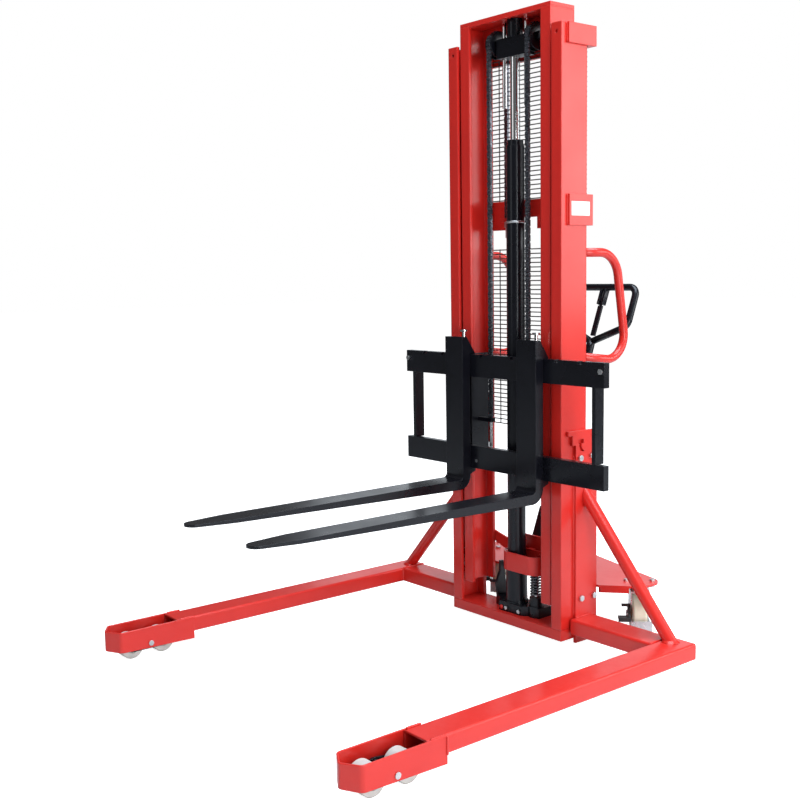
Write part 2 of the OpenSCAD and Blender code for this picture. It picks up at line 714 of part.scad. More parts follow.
// Plunger with its cap; the tiller's rocker presses on the cap
module pump_plunger() color(chrome) {
    bar_z(base_top + 26, cap_z, plunger_x, plunger_y, 20);
    bar_z(cap_z, cap_z + cap_h, plunger_x, plunger_y, 42);
}

// Return spring as one unbroken tube of 8 rings a turn and 6 sides
spring_rings = round(spring_turns * 8);
spring_r = (spring_d - spring_wire) / 2;
spring_len = cap_z - spring_bottom - spring_wire;
spring_pitch = spring_len / spring_turns;
function spring_at(i) = let (t = i / spring_rings, a = 360 * spring_turns * t)
    [spring_r * cos(a), spring_r * sin(a), spring_wire / 2 + t * spring_len];
function spring_ring(i) = let (a = 360 * spring_turns * i / spring_rings, c = spring_at(i),
    rise = atan2(spring_pitch, 2 * PI * spring_r))
    [for (k = [0:5]) let (b = 60 * k, u = cos(b) * spring_wire / 2, v = sin(b) * spring_wire / 2)
        [c.x + u * cos(a) + v * sin(a) * sin(rise), c.y + u * sin(a) - v * cos(a) * sin(rise),
            c.z + v * cos(rise)]];
echo(spring_self_gap = min([for (i = [0:spring_rings - 8])
    norm(spring_at(i + 8) - spring_at(i))]) - spring_wire);
module pump_spring() color(black) translate([plunger_x, plunger_y, spring_bottom + 0.1]) {
    points = [for (i = [0:spring_rings]) each spring_ring(i)];
    last = 6 * spring_rings;
    sides = [for (i = [0:spring_rings - 1], k = [0:5]) let (a = 6 * i + k, b = 6 * i + (k + 1) % 6)
        each [[a, a + 6, b], [b, a + 6, b + 6]]];
    caps = [for (k = [1:4]) each [[0, k, k + 1], [last, last + k + 1, last + k]]];
    polyhedron(points, concat(sides, caps));
}

// Rocker between the tiller's arm and the plunger's cap
rocker_tip = [plunger_y, cap_z + cap_h + gap + 5];
module pump_rocker() color(black) {
    across(plunger_x - rocker_w / 2, plunger_x + rocker_w / 2) {
        link([rocker_y, rocker_z], rocker_tip, 10);
        link([rocker_y, rocker_z], [tiller_y - 22, tiller_z + 13], 10);
        translate([rocker_y, rocker_z]) circle(10);
    }
    bar_x(plunger_x - ear_x - ear_t, plunger_x + ear_x + ear_t, rocker_y, rocker_z, rocker_pin_d);
}

// Tiller, modelled upright at its pivot and then leaned back
module tiller_frame() translate([0, tiller_y, tiller_z]) rotate([-tiller_lean, 0, 0]) children();
loop_z = tiller_l - loop_h;
module tiller() color(black) {
    tiller_frame() {
        rod([0, 0, 130], [0, 0, loop_z + 8], tiller_d + 6);
        rotate([90, 0, 0]) bent_tube([[0, loop_z], [loop_w / 2, loop_z + loop_rise],
            [loop_w / 2, tiller_l - loop_cut], [loop_w / 2 - loop_cut, tiller_l],
            [loop_cut - loop_w / 2, tiller_l], [-loop_w / 2, tiller_l - loop_cut],
            [-loop_w / 2, loop_z + loop_rise], [0, loop_z]], tiller_d);
        box([-26, -17, 20], [26, 17, 150]);
        difference() {
            box([-15, -11, tiller_l - 70], [15, 11, tiller_l]);
            box([-5, -17, tiller_l - 71], [5, 17, tiller_l - 18]);
            bar_x(-16, 16, 0, tiller_l - 50, 6 + 2 * fit);
        }
    }
    // yoke, cross shaft and the arm that lifts the rocker
    translate([-26, tiller_y, tiller_z]) rotate([90, 0, 90]) cylinder(d = 44, h = 52);
    bar_x(-44, plunger_x + rocker_w / 2, tiller_y, tiller_z, 20);
    across(plunger_x - rocker_w / 2, plunger_x + rocker_w / 2) {
        link([tiller_y, tiller_z], [tiller_y - 22, tiller_z], 12);
        translate([tiller_y, tiller_z]) circle(14);
    }
}
// Lowering lever in the middle of the loop
module release_lever() color(black) tiller_frame() {
    bar_x(-16, 16, 0, tiller_l - 50, 6);
    box([-5 + gap, -10, tiller_l - 57], [5 - gap, 10, tiller_l - 43]);
    box([-5 + gap, -3, tiller_l - 80], [5 - gap, 3, tiller_l - 50]);
    box([-10, -4, loop_z + 24], [10, 4, tiller_l - 74]);
}

module inner_channel() color(red) translate([0, 0, inner_z])
    linear_extrude(top_plate_z - inner_z) channel_section(inner_out, inner_flange_w, inner_y, inner_d);
module inner_top_beam() color(red) {
    half = inner_out - inner_flange_w;
    box([-inner_out, inner_y, top_plate_z], [inner_out, inner_back, inner_top]);
    box([-half, inner_y, top_plate_z - 6], [half, inner_y + 12, top_plate_z]);
    box([-half, inner_back - 12, top_plate_z - 34], [half, inner_back, top_plate_z]);
}
module guide_rods() color(chrome) both()
    bar_z(top_plate_z - guide_l, top_plate_z, guide_x, guide_y, guide_d);
// Rollers on the foot of the inner mast that run inside the outer channels
mast_roller_low = 70;
mast_roller_step = 487;
mast_roller_z = [inner_z + mast_roller_low, inner_z + mast_roller_low + mast_roller_step];
module mast_rollers() color(zinc) both() for (z = mast_roller_z) {
    bar_x(inner_out, inner_out + 4, mid_y, z, 36);
    bar_x(inner_out + 4, mast_out - channel_t - 7, mid_y, z, mast_d - 2 * channel_t - 2 * gap);
    bar_x(mast_out - channel_t - 7, mast_out - channel_t - 1, mid_y, z, 26);
}

module crosshead() color(black) {
    difference() {
        union() {
            box([-cross_half, guide_y - 24, cross_z], [cross_half, guide_y + 24, cross_z + cross_h]);
            bar_z(cross_z + cross_h, top_plate_z - gap, 0, lift_y, 55);
        }
        for (s = [-1, 1])
            bar_z(cross_z - 1, cross_z + cross_h + 1, s * guide_x, guide_y, guide_d + 2 * fit);
    }
    both() {
        bar_x(cross_half, chain_x + chain_w / 2 + 10, pulley_y, pulley_z, pulley_axle_d);
        translate([chain_x + chain_w / 2 + 6, pulley_y, pulley_z]) rotate([0, 90, 0]) hex_head(30, 10);
        bar_x(cross_half, chain_x - chain_w / 2 - pulley_flange_t - 1.5, pulley_y, pulley_z, 30);
    }
}
module piston_rod() color(chrome) {
    bar_z(rod_bottom, cross_z, 0, lift_y, rod_d);
    bar_z(rod_bottom, rod_bottom + piston_l, 0, lift_y, barrel_d - 2 * barrel_wall - 2 * fit);
}
// Plain drum with two flanges that keep the chain in line
module chain_pulley() color(black) difference() {
    w = chain_w / 2 + 1;
    union() {
        bar_x(chain_x - w, chain_x + w, pulley_y, pulley_z, 2 * (drum_r - gap));
        for (x = [-w - pulley_flange_t, w])
            bar_x(chain_x + x, chain_x + x + pulley_flange_t, pulley_y, pulley_z, 2 * pulley_flange_r);
    }
    bar_x(chain_x - 40, chain_x + 40, pulley_y, pulley_z, pulley_axle_d + 2 * fit);
}
module chain_wraps() color(black) both() intersection() {
    difference() {
        bar_x(chain_x - chain_w / 2, chain_x + chain_w / 2, pulley_y, pulley_z, 2 * wrap_r);
        bar_x(chain_x - chain_w, chain_x + chain_w, pulley_y, pulley_z, 2 * drum_r);
    }
    box([0, 0, pulley_z], [2 * chain_x, 2 * pulley_y, pulley_z + wrap_r + 1]);
}
module rear_chain_runs() color(black) both()
    box([chain_x - chain_w / 2, pulley_y + drum_r, rear_anchor_z],
        [chain_x + chain_w / 2, pulley_y + wrap_r, pulley_z]);
module front_chain_runs() color(black) both()
    box([chain_x - chain_w / 2, pulley_y - wrap_r, front_anchor_z],
        [chain_x + chain_w / 2, pulley_y - drum_r, pulley_z]);

// Side plates that carry the rollers, end struts, and the lugs of the chain anchors
lug_t = 14;
module carriage_frame() color(black) both() difference() {
    union() {
        box([cheek_x, bar_back, lower_bar_z], [cheek_x + cheek_t, mid_y + 9, bar_top]);
        box([strut_x, bar_front, lower_bar_top], [strut_x + 15, 4, upper_bar_z]);
        box([chain_x - chain_w / 2 - 2, pulley_y - wrap_r - 4, front_anchor_z - lug_t],
            [cheek_x, pulley_y - drum_r + 1.5, front_anchor_z]);
    }
    bar_z(front_anchor_z - lug_t - 1, front_anchor_z + 1, chain_x, pulley_y - drum_r - chain_t / 2, 12);
}
module bar_blank(z) box([-bar_w / 2, bar_front, z], [bar_w / 2, bar_back, z + bar_h]);
module upper_bar() color(black) difference() {
    bar_blank(upper_bar_z);
    for (s = [-1, 1], i = [-1:2])
        box([s * (fork_x + i * lock_pitch) - lock_d / 2 - 1, bar_front - 1, bar_top - 10],
            [s * (fork_x + i * lock_pitch) + lock_d / 2 + 1, bar_back + 1, bar_top + 1]);
    for (s = [-1, 1]) bar_y(bar_front - 1, bar_back + 1, s * (bar_w / 2 - 13), bar_top - 28, 10);
}
sunk_x = 103.5; // [95:0.5:110]
sunk_z = lower_bar_z + 28;
sunk_head_d = 13;
module lower_bar() color(black) difference() {
    bar_blank(lower_bar_z);
    for (s = [-1, 1]) {
        bar_y(bar_front - 1, bar_front + 8, s * sunk_x, sunk_z, sunk_head_d + 2 * fit);
        bar_y(bar_front + 4, bar_back + 1, s * sunk_x, sunk_z, 8);
    }
}
// End stops of the forks, screws sunk in the lower bar, which forks slide over, and the chain anchor rods
module carriage_bolts() color(zinc) both() {
    bar_y(bar_front, bar_back, bar_w / 2 - 13, bar_top - 28, 10 - 2 * fit);
    translate([bar_w / 2 - 13, bar_front, bar_top - 28]) rotate([90, 0, 0]) hex_head(17, 7);
    bar_z(front_anchor_z - 104, front_anchor_z, chain_x, pulley_y - drum_r - chain_t / 2, 12 - 2 * fit);
    translate([chain_x, pulley_y - drum_r - chain_t / 2, front_anchor_z - lug_t - 18])
        cylinder(d = 13, h = 18);
    bar_y(bar_front + 0.5, bar_front + 8, sunk_x, sunk_z, sunk_head_d);
    bar_y(bar_front + 4, bar_back, sunk_x, sunk_z, 8 - 2 * fit);
}
// Rollers that run inside the inner channels
carriage_roller_z = [lower_bar_z + 40, bar_top - 110];
module carriage_rollers() color(zinc) both() for (z = carriage_roller_z) {
    bar_x(cheek_x + cheek_t, cheek_x + cheek_t + 3, guide_y, z, 34);
    bar_x(cheek_x + cheek_t + 3, inner_out - channel_t - 4, guide_y, z, inner_d - 2 * channel_t - 2 * gap);
    bar_x(inner_out - channel_t - 4, inner_out - channel_t - 1, guide_y, z, 26);
}

heel_r = 50;
throat_r = 16;
module fork_profile() polygon(concat(
    [[shank_front, fork_top], [shank_front + 21, fork_top], [bar_back + 1, bar_top + 4],
        [bar_back + 1, bar_top + gap], [shank_back, bar_top + gap], [shank_back, lower_bar_z - gap],
        [bar_back + 1, lower_bar_z - gap], [bar_back + 1, lower_bar_z - 14], [shank_back, lower_bar_z - 24]],
    arc([shank_back - heel_r, blade_z + heel_r], heel_r, 0, -90),
    [[-fork_front, blade_top - 8], [-fork_front, blade_top]],
    arc([shank_front - throat_r, blade_top + throat_r], throat_r, -90, 0)));
tip_l = 150;
tip_r = 30;
module fork_plan() polygon(concat(
    [[fork_w / 2, 0], [-fork_w / 2, 0], [-fork_w / 2, -fork_front + tip_l]],
    arc([0, -fork_front + tip_r], tip_r, 180, 360), [[fork_w / 2, -fork_front + tip_l]]));
module fork() color(black) translate([fork_x, 0, 0]) difference() {
    union() {
        intersection() {
            across(-fork_w / 2, fork_w / 2) fork_profile();
            translate([0, 0, blade_z - 1]) linear_extrude(fork_top - blade_z + 2) fork_plan();
        }
        bar_z(bar_top + 6, bar_top + 46, 0, lock_y, lock_d + 7);
    }
    bar_z(bar_top - 1, bar_top + 60, 0, lock_y, lock_d + 2 * fit);
}
module lock_pin() color(chrome) {
    bar_z(bar_top + gap, bar_top + 82, fork_x, lock_y, lock_d);
    bar_z(bar_top + 78, bar_top + 85, fork_x, lock_y, 27);
}

place() left() leg();  // leg_left
place() leg();  // leg_right
place() rear_beams();
place() left() leg_nose();  // leg_nose_left
place() leg_nose();  // leg_nose_right
place() left() outer_channel();  // outer_channel_left
place() outer_channel();  // outer_channel_right
place() mast_base();
place() top_crossmember();
place() mid_crossmember();
place() side_plates();
place() braces();
place() mesh_guards();
place() grab_handles();
place() frame_bolts();
place() deck_plate();
place() caster_plates();
place() cylinder_barrel();
place() cylinder_gland();
place() cylinder_strap();
place() pump_block();
place() pump_spring();
place() rear_chain_runs();
place() bogie_pivots();
place() left() bogie();  // bogie_left
place() left() load_wheel(-1);  // load_wheel_front_left
place() left() load_wheel(1);  // load_wheel_rear_left
place() bogie();  // bogie_right
place() load_wheel(-1);  // load_wheel_front_right
place() load_wheel(1);  // load_wheel_rear_right
place() left() inner_channel();  // inner_channel_left
place() inner_channel();  // inner_channel_right
place() inner_top_beam();
place() guide_rods();
place() mast_rollers();
place() crosshead();
place() piston_rod();
place() left() chain_pulley();  // chain_pulley_left
place() chain_pulley();  // chain_pulley_right
place() chain_wraps();
place() front_chain_runs();
place() carriage_frame();
place() upper_bar();
place() lower_bar();
place() carriage_bolts();
place() carriage_rollers();
place() left() fork();  // fork_left
place() fork();  // fork_right
place() left() lock_pin();  // lock_pin_left
place() lock_pin();  // lock_pin_right
place() caster_place(-1) caster_fork();  // caster_fork_left
place() caster_place(1) caster_fork();  // caster_fork_right
place() caster_place(-1) caster_wheel();  // caster_wheel_left
place() caster_place(1) caster_wheel();  // caster_wheel_right
place() caster_place(-1) brake_pedal();  // brake_pedal_left
place() caster_place(1) brake_pedal();  // brake_pedal_right
place() tiller();
place() release_lever();
place() pump_plunger();
place() pump_rocker();
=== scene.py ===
# %% [markdown]
# A hand pallet stacker in a pale studio.
# The solids of the machine come in as a fixed frame, in metres. Here they get their finishes, and the
# pieces that plain solids can't show, such as chains, bent tubes, the spring and welds, get real meshes.

# %% Load the frame
import json
import math

import bpy
import numpy as np
from mathutils import Matrix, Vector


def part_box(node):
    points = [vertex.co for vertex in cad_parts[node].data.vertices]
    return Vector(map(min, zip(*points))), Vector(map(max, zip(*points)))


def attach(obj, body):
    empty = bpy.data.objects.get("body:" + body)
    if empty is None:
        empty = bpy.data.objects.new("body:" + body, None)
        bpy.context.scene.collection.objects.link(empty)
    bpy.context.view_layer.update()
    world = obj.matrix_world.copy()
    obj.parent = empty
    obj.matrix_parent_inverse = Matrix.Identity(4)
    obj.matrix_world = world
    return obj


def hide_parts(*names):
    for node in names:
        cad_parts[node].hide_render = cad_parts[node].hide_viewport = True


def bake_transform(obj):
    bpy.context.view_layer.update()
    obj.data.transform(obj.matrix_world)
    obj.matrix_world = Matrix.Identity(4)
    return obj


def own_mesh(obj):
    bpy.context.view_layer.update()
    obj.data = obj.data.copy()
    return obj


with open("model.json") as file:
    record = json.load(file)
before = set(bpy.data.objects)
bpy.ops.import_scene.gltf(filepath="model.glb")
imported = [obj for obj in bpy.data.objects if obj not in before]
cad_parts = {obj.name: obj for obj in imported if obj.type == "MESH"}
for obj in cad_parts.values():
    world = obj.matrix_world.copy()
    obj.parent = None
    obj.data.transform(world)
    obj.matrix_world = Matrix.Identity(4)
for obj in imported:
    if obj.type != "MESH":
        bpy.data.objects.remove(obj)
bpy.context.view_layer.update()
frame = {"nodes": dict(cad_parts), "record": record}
scene = bpy.context.scene
mast_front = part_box("outer_channel_right")[0].y
mast_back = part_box("outer_channel_right")[1].y
print("frame holds", len(frame["nodes"]), "nodes; mast front at", round(mast_front, 4))

# %% [markdown]
# The camera stood at the near front corner, below eye level, a little under 4 m from the mast.
# Its place and turn were solved from the corners of the machine, so the picture lines up with the frame.

# %% Camera
CAMERA_FROM_MAST = (2.756, -2.702, 1.275)
CAMERA_HEADING = math.radians(50.94)
CAMERA_DOWN = math.radians(6.47)
CAMERA_ROLL = math.radians(-0.89)
FOCAL_PIXELS = 1108.4
FRAME_PIXELS = 800


def make_camera():
    """Forward comes from heading and pitch; right is level; both are rolled about forward."""
    forward = np.array([-math.sin(CAMERA_HEADING) * math.cos(CAMERA_DOWN),
                        math.cos(CAMERA_HEADING) * math.cos(CAMERA_DOWN), -math.sin(CAMERA_DOWN)])
    level = np.array([math.cos(CAMERA_HEADING), math.sin(CAMERA_HEADING), 0.0])
    up = np.cross(level, forward)
    right = math.cos(CAMERA_ROLL) * level + math.sin(CAMERA_ROLL) * up
    top = np.cross(right, forward)
    data = bpy.data.cameras.new("studio_camera")
    data.sensor_width = 36.0
    data.lens = FOCAL_PIXELS / FRAME_PIXELS * data.sensor_width
    data.clip_end = 200.0
    camera = bpy.data.objects.new("studio_camera", data)
    x, y, z = CAMERA_FROM_MAST
    turn = Matrix([[right[i], top[i], -forward[i]] for i in range(3)]).to_4x4()
    camera.matrix_world = Matrix.Translation((x, y + mast_front, z)) @ turn
    scene.collection.objects.link(camera)
    scene.camera = camera
    return camera


print("camera lens", round(make_camera().data.lens, 2), "mm")

# %% [markdown]
# Paint, plating and nylon all have a fine grain, a little patchiness and dust on faces that look up.
# One node group gives these masks, so every finish can use them with its own values.


# %% Shared grain group
def new_group(name, inputs, outputs):
    """A shader node group with named float inputs (and their defaults) and named outputs."""
    group = bpy.data.node_groups.new(name, "ShaderNodeTree")
    for label, value in inputs.items():
        socket = group.interface.new_socket(label, in_out="INPUT", socket_type="NodeSocketFloat")
        socket.default_value = value
    for label in outputs:
        group.interface.new_socket(label, in_out="OUTPUT", socket_type="NodeSocketFloat")
    return group, group.nodes.new("NodeGroupInput"), group.nodes.new("NodeGroupOutput")


def noise(tree, vector, scale, detail=4.0, rough=0.5):
    node = tree.nodes.new("ShaderNodeTexNoise")
    node.inputs["Detail"].default_value = detail
    node.inputs["Roughness"].default_value = rough
    if isinstance(scale, (int, float)):
        node.inputs["Scale"].default_value = scale
    else:
        tree.links.new(scale, node.inputs["Scale"])
    tree.links.new(vector, node.inputs["Vector"])
    return node.outputs["Fac"]


def ramp(tree, value, low, high, out_low=0.0, out_high=1.0):
    """A value between low and high, stretched to run from out_low to out_high."""
    node = tree.nodes.new("ShaderNodeMapRange")
    for label, number in (("From Min", low), ("From Max", high), ("To Min", out_low), ("To Max", out_high)):
        node.inputs[label].default_value = number
    tree.links.new(value, node.inputs["Value"])
    return node.outputs["Result"]


def combine(tree, operation, a, b):
    node = tree.nodes.new("ShaderNodeMath")
    node.operation = operation
    for socket, value in zip(node.inputs, (a, b)):
        if isinstance(value, (int, float)):
            socket.default_value = value
        else:
            tree.links.new(value, socket)
    return node.outputs["Value"]


def grain_group():
    """Patches, grain, dust and scuffs: four noises on Object coordinates, dust only on what looks up."""
    group, source, sink = new_group("surface_grain", {"Grain Scale": 900.0, "Patch Scale": 5.0},
                                    ("Patches", "Grain", "Dust", "Scuffs"))
    place = group.nodes.new("ShaderNodeTexCoord").outputs["Object"]
    grain = noise(group, place, source.outputs["Grain Scale"], 2.0)
    patches = ramp(group, noise(group, place, source.outputs["Patch Scale"], 5.0, 0.6), 0.3, 0.7)
    facing = group.nodes.new("ShaderNodeSeparateXYZ")
    group.links.new(group.nodes.new("ShaderNodeNewGeometry").outputs["Normal"], facing.inputs["Vector"])
    upward = ramp(group, facing.outputs["Z"], 0.4, 1.0)
    dust = combine(group, "MULTIPLY", upward, ramp(group, noise(group, place, 38.0, 6.0, 0.7), 0.35, 0.75))
    scuffs = ramp(group, noise(group, place, 75.0, 8.0, 0.75), 0.62, 0.72)
    for label, value in (("Patches", patches), ("Grain", grain), ("Dust", dust), ("Scuffs", scuffs)):
        group.links.new(value, sink.inputs[label])
    return group


GRAIN = grain_group()
print("group outputs:", [s.name for s in GRAIN.interface.items_tree if s.in_out == "OUTPUT"])

# %% [markdown]
# Sheet metal and thick paint have no sharp edges. The Bevel node rounds the shading over the last
# few millimetres at every edge, which gives the thin bright lines that gloss paint shows there.


# %% One finish maker for all hard surfaces
def finish(name, base, deep, rough, grain_scale=900.0, patch_scale=5.0, bump=0.02, edge=0.002,
           dust=0.06, scuff=0.0, **fixed):
    """A Principled surface: base and deep colours mixed by patches, pale dust on top, grained bump."""
    material = bpy.data.materials.new(name)
    material.use_nodes = True
    tree = material.node_tree
    shader = tree.nodes["Principled BSDF"]
    for label, value in fixed.items():
        shader.inputs[label.replace("_", " ")].default_value = value
    grain = tree.nodes.new("ShaderNodeGroup")
    grain.node_tree = GRAIN
    grain.inputs["Grain Scale"].default_value = grain_scale
    grain.inputs["Patch Scale"].default_value = patch_scale
    colour = base
    for amount, other, mask in ((1.0, deep, "Patches"), (dust, (0.8, 0.77, 0.72), "Dust"),
                                (scuff, (0.55, 0.5, 0.48), "Scuffs")):
        mix = tree.nodes.new("ShaderNodeMix")
        mix.data_type = "RGBA"
        factor, _, _, _, _, _, first, second = list(mix.inputs)[:8]
        if isinstance(colour, tuple):
            first.default_value = (*colour, 1.0)
        else:
            tree.links.new(colour, first)
        second.default_value = (*other, 1.0)
        tree.links.new(combine(tree, "MULTIPLY", grain.outputs[mask], amount), factor)
        colour = next(s for s in mix.outputs if s.type == "RGBA")
    tree.links.new(colour, shader.inputs["Base Color"])
    tree.links.new(ramp(tree, grain.outputs["Patches"], 0.0, 1.0, rough[0], rough[1]),
                   shader.inputs["Roughness"])
    rounded = tree.nodes.new("ShaderNodeBevel")
    rounded.samples = 6
    rounded.inputs["Radius"].default_value = edge
    height = tree.nodes.new("ShaderNodeBump")
    height.inputs["Strength"].default_value = bump
    height.inputs["Distance"].default_value = 0.001
    tree.links.new(grain.outputs["Grain"], height.inputs["Height"])
    tree.links.new(rounded.outputs["Normal"], height.inputs["Normal"])
    tree.links.new(height.outputs["Normal"], shader.inputs["Normal"])
    return material


# %% The machine's finishes
RED = dict(base=(0.64, 0.020, 0.013), deep=(0.58, 0.016, 0.011), rough=(0.30, 0.42), grain_scale=420.0,
           bump=0.035, dust=0.02, Coat_Weight=0.28, Coat_Roughness=0.16, Specular_IOR_Level=0.4)
ROLLED_RED = finish("red_rolled_section", edge=0.007, **RED)
FINISHES = {
    "red_paint": finish("red_powder_coat", edge=0.003, **RED),
    "black_paint": finish("black_gloss_paint", (0.003, 0.003, 0.005), (0.004, 0.004, 0.007), (0.24, 0.34),
                          grain_scale=300.0, bump=0.05, edge=0.0025, dust=0.008, scuff=0.010,
                          Coat_Weight=0.12, Coat_Roughness=0.12, Specular_IOR_Level=0.3,
                          Specular_Tint=(0.86, 0.92, 1.0, 1.0)),
    "black_wire": finish("coated_wire", (0.03, 0.03, 0.032), (0.05, 0.05, 0.05), (0.35, 0.5),
                         edge=0.0005, dust=0.02),
    "chain_steel": finish("oiled_chain", (0.17, 0.18, 0.21), (0.045, 0.047, 0.058), (0.20, 0.38),
                          patch_scale=90.0, edge=0.0004, dust=0.02, Metallic=0.8),
    "zinc": finish("zinc_plating", (0.66, 0.67, 0.68), (0.52, 0.53, 0.55), (0.22, 0.38),
                   patch_scale=45.0, grain_scale=1500.0, bump=0.04, edge=0.001, dust=0.02, Metallic=1.0),
    "chrome": finish("polished_chrome", (0.80, 0.81, 0.83), (0.74, 0.75, 0.77), (0.06, 0.14),
                     patch_scale=30.0, edge=0.0008, bump=0.005, dust=0.01, Metallic=1.0),
    "nylon": finish("cream_nylon", (0.74, 0.68, 0.55), (0.64, 0.57, 0.44), (0.38, 0.55),
                    patch_scale=25.0, edge=0.0015, dust=0.08, scuff=0.25,
                    Subsurface_Weight=0.15, Subsurface_Scale=0.01),
    "black_plastic": finish("moulded_black", (0.014, 0.014, 0.015), (0.022, 0.022, 0.023), (0.42, 0.55),
                            grain_scale=1200.0, bump=0.12, edge=0.002, dust=0.05),
}
PALE_NYLON = finish("pale_nylon", (0.62, 0.60, 0.57), (0.50, 0.48, 0.46), (0.38, 0.55), patch_scale=25.0,
                    edge=0.0015, dust=0.04, scuff=0.2, Subsurface_Weight=0.1, Subsurface_Scale=0.01)
BLANK_LABEL = finish("blank_label", (0.82, 0.80, 0.77), (0.76, 0.74, 0.71), (0.3, 0.4), edge=0.0003)

# Rolled channels and tubes have wide round corners. The screwed head of the barrel is painted over.
# The load wheels are a greyer nylon than the casters.
ROLLED = ("outer_channel", "inner_channel", "leg_left", "leg_right", "rear_beams", "mast_base")
node_slot = {part["node"]: part["material_slot"] for part in frame["record"]["subparts"]}
for name, cad_node in frame["nodes"].items():
    coat = ROLLED_RED if name.startswith(ROLLED) else FINISHES[node_slot[name]]
    if name == "cylinder_gland":
        coat = FINISHES["black_paint"]
    if name.startswith("load_wheel"):
        coat = PALE_NYLON
    for holder in cad_node.material_slots:
        holder.material = coat
print("finishes:", sorted(FINISHES))

# %% [markdown]
# New pieces are surfaces on a grid. Three helpers make nearly all of them: one puts points and faces
# into a mesh, one carries a ring along a path, and one turns a profile about an axis.


# %% Mesh helpers
def piece(name, points, faces, slot_name, body, smooth=True, stands_for=()):
    """A mesh object from arrays, in the finish of a slot, riding on a body."""
    mesh = bpy.data.meshes.new(name)
    mesh.from_pydata(np.asarray(points).reshape(-1, 3).tolist(), [], [list(face) for face in faces])
    mesh.polygons.foreach_set("use_smooth", [smooth] * len(mesh.polygons))
    mesh.update()
    made = bpy.data.objects.new(name, mesh)
    scene.collection.objects.link(made)
    mesh.materials.append(FINISHES.get(slot_name, BLANK_LABEL))
    if body:
        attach(made, body)
    if stands_for:
        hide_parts(*stands_for)
    return made


def grid_faces(rows, columns, close_rows=False):
    """Quads between neighbours on a rows by columns grid whose columns close into rings."""
    i = np.arange(rows if close_rows else rows - 1)[:, None]
    j = np.arange(columns)[None, :]
    a, b = i * columns + j, i * columns + (j + 1) % columns
    c, d = ((i + 1) % rows) * columns + (j + 1) % columns, ((i + 1) % rows) * columns + j
    return np.stack([a, b, c, d], axis=-1).reshape(-1, 4)


def tube(path, radius, sides=20, closed=False, side_axis=(1.0, 0.0, 0.0)):
    """Rings of one radius (or one per point) square to a path that lies near a plane with side_axis."""
    path = np.asarray(path, float)
    ahead = np.roll(path, -1, 0) - np.roll(path, 1, 0)
    if not closed:
        ahead[0], ahead[-1] = path[1] - path[0], path[-1] - path[-2]
    ahead /= np.linalg.norm(ahead, axis=1, keepdims=True)
    across = np.cross(ahead, np.cross(np.asarray(side_axis, float), ahead))
    across /= np.linalg.norm(across, axis=1, keepdims=True)
    over = np.cross(ahead, across)
    angle = np.linspace(0, 2 * math.pi, sides, endpoint=False)
    ring = across[:, None] * np.cos(angle)[None, :, None] + over[:, None] * np.sin(angle)[None, :, None]
    points = path[:, None] + ring * np.broadcast_to(np.asarray(radius, float), len(path))[:, None, None]
    faces = grid_faces(len(path), sides, close_rows=closed).tolist()
    if not closed:
        faces.append(list(range(sides))[::-1])
        faces.append(list(range((len(path) - 1) * sides, len(path) * sides)))
    return points.reshape(-1, 3), faces


def merge(parts):
    """One list of points and faces from several."""
    points, faces, start = [], [], 0
    for some_points, some_faces in parts:
        points.append(np.asarray(some_points).reshape(-1, 3))
        faces += [[start + k for k in face] for face in some_faces]
        start += len(points[-1])
    return np.concatenate(points), faces


def rounded_path(corners, radii, arc_points=9):
    """A 3D polyline whose inner corners are arcs, each with its own radius or all with one."""
    corners = [np.asarray(c, float) for c in corners]
    out = [corners[0]]
    radii = np.broadcast_to(np.asarray(radii, float), len(corners) - 2)
    for before, corner, after, radius in zip(corners, corners[1:], corners[2:], radii):
        u = (corner - before) / np.linalg.norm(corner - before)
        v = (after - corner) / np.linalg.norm(after - corner)
        half = math.acos(np.clip(u @ v, -1, 1)) / 2
        reach = radius * math.tan(half)
        inward = (v - u) / np.linalg.norm(v - u)
        centre = corner + inward * radius / math.cos(half)
        first = corner - u * reach - centre
        sweep = np.linspace(0, 2 * half, arc_points)[:, None]
        out.extend(centre + first * np.cos(sweep) + u * radius * np.sin(sweep))
    out.append(corners[-1])
    return np.array(out)


def both_sides(name, points, faces, slot_name, body, **more):
    """A piece on the right and its mirror image, with its faces turned, on the left."""
    mirrored = np.asarray(points) * np.array([-1.0, 1.0, 1.0])
    turned_faces = [list(face)[::-1] for face in faces]
    return [piece(name + "_right", points, faces, slot_name, body, **more),
            piece(name + "_left", mirrored, turned_faces, slot_name, body, **more)]


def at_mast(x, y, z):
    """A place given in millimetres from the mast's front face, in metres in the frame."""
    return np.array([x / 1000, mast_front + y / 1000, z / 1000])


# %% [markdown]
# Each grab handle is one tube bent twice. A ring carried along a path with real arcs at the corners
# gives the smooth bends; straight cylinders would meet there in creases.

# %% Grab handles
GRAB_D = 0.030
GRAB_CORNERS = [(118, 1338), (289, 1338), (350, 962), (118, 989)]
GRAB_BENDS = [0.092, 0.082]
grab_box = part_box("grab_handles")
grab_x = (grab_box[1].x - GRAB_D / 2) * 1000
grab_points, grab_faces = tube(rounded_path([at_mast(grab_x, y, z) for y, z in GRAB_CORNERS], GRAB_BENDS, 17),
                               GRAB_D / 2, 24)
for handle in both_sides("grab_handle", grab_points, grab_faces, "red_paint", "chassis"):
    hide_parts("grab_handles")
print("grab handles reach", round(float(grab_points[:, 1].max()), 3))

# %% [markdown]
# The nose round each pair of load wheels is one flat bar, bent upright round a form. The bar's section
# is carried along its bent line, seen from above, so the bends are round outside and inside.

